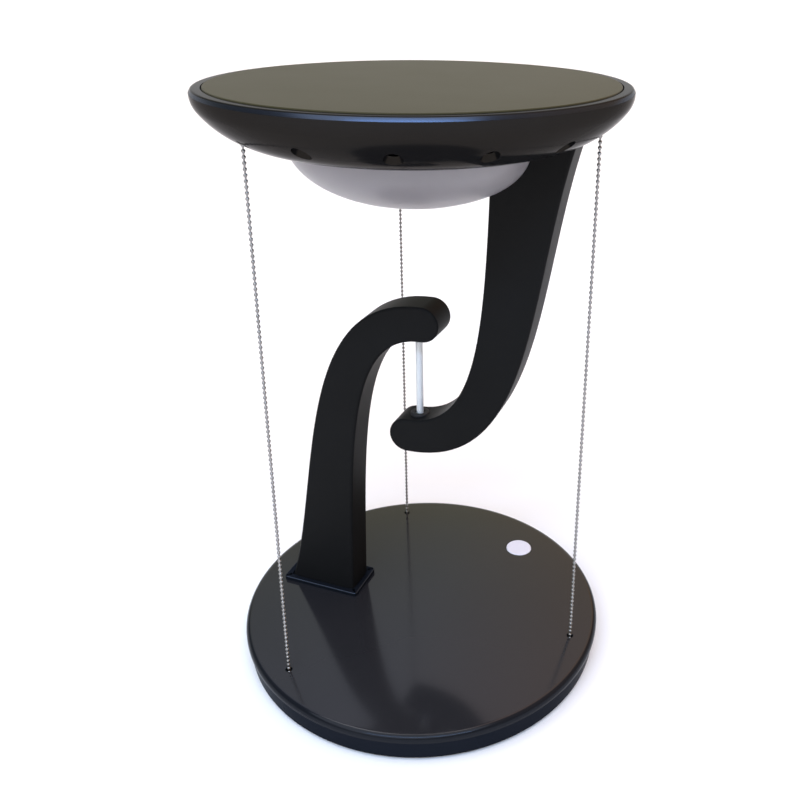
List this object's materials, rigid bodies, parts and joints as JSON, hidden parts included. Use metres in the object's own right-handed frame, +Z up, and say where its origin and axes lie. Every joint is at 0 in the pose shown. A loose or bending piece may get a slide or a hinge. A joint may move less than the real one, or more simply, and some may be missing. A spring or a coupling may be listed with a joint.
{
  "type": "levitating desk lamp",
  "caption": "Desk lamp that seems to float: a head with a light dome and a charging plate hangs by a cord between hooked arms, held level by ball chains on a weighted base.",
  "frame": {"origin": "on the desk, under the middle of the base", "axes": "+Z up, along the cord; +X from the cord towards the head's arm; the arms lie in the XZ plane and their lids face +Y"},
  "size_m": [0.16, 0.16, 0.2475],
  "materials": {
    "gloss_black": "mirror gloss",
    "tray_black": "satin",
    "arm_black": "soft satin",
    "bowl_black": "satin",
    "plate_black": "fine matt grain",
    "ballast_steel": "plain rolled",
    "foot_rubber": "matt",
    "seal_rubber": "matt",
    "screw_steel": "zinc plated",
    "board_green": "solder mask",
    "inlet_steel": "nickel plated",
    "switch_black": "moulded",
    "plunger_ivory": "moulded",
    "button_white": "satin",
    "cord_grey": "smooth jacket",
    "crimp_metal": "plain",
    "chain_steel": "nickel plated",
    "coil_copper": "enamelled wire",
    "shield_ferrite": "sintered",
    "frame_metal": "stamped",
    "board_white": "white solder mask",
    "chip_yellow": "phosphor",
    "dome_opal": "opal satin"
  },
  "bodies": {
    "base": {"base_tray": "tray_black", "base_cover": "gloss_black", "base_weight": "ballast_steel", "base_feet": "foot_rubber", "tray_screws": "screw_steel", "power_board": "board_green", "power_inlet": "inlet_steel", "switch_board": "board_green", "switch_body": "switch_black", "arm_collar": "tray_black", "base_arm": "arm_black", "base_arm_lid": "arm_black", "base_arm_screws": "screw_steel", "upper_grommet": "seal_rubber", "cord": "cord_grey", "cord_crimps": "crimp_metal"},
    "button": {"switch_button": "button_white", "switch_plunger": "plunger_ivory"},
    "head": {"head_bowl": "bowl_black", "charge_plate": "plate_black", "charge_coil": "coil_copper", "coil_shield": "shield_ferrite", "charger_board": "board_green", "head_frame": "frame_metal", "frame_screws": "screw_steel", "led_board": "board_white", "led_chips": "chip_yellow", "light_dome": "dome_opal", "dome_gasket": "seal_rubber", "head_arm": "arm_black", "head_arm_lid": "arm_black", "head_arm_screws": "screw_steel", "lower_grommet": "seal_rubber", "head_lead": "cord_grey"},
    "right_chain": {"chain_right": "chain_steel"},
    "back_chain": {"chain_back": "chain_steel"},
    "left_chain": {"chain_left": "chain_steel"}
  },
  "joints": [
    {"name": "head_twist", "type": "hinge", "parent": "base", "child": "head", "pos_m": [0, 0, 0.1281], "axis": [0, 0, 1], "range_deg": [-8, 8], "stiffness_Nm_per_rad": 0.13},
    {"name": "button_press", "type": "slide", "parent": "base", "child": "button", "axis": [0, 0, -1], "range_m": [0, 0.0008], "stiffness_N_per_m": 400},
    {"name": "right_chain_tilt", "type": "hinge", "parent": "base", "child": "right_chain", "pos_m": [0.07, 0, 0.0093], "axis": [-1, 0, 0], "range_deg": [-3, 3]},
    {"name": "back_chain_tilt", "type": "hinge", "parent": "base", "child": "back_chain", "pos_m": [-0.035, 0.06062, 0.0093], "axis": [0.5, -0.866, 0], "range_deg": [-3, 3]},
    {"name": "left_chain_tilt", "type": "hinge", "parent": "base", "child": "left_chain", "pos_m": [-0.035, -0.06062, 0.0093], "axis": [0.5, 0.866, 0], "range_deg": [-3, 3]}
  ],
  "couplings": [
    {"joint": "right_chain_tilt", "follows": "head_twist", "ratio": 0.313},
    {"joint": "back_chain_tilt", "follows": "head_twist", "ratio": 0.313},
    {"joint": "left_chain_tilt", "follows": "head_twist", "ratio": 0.313}
  ]
}
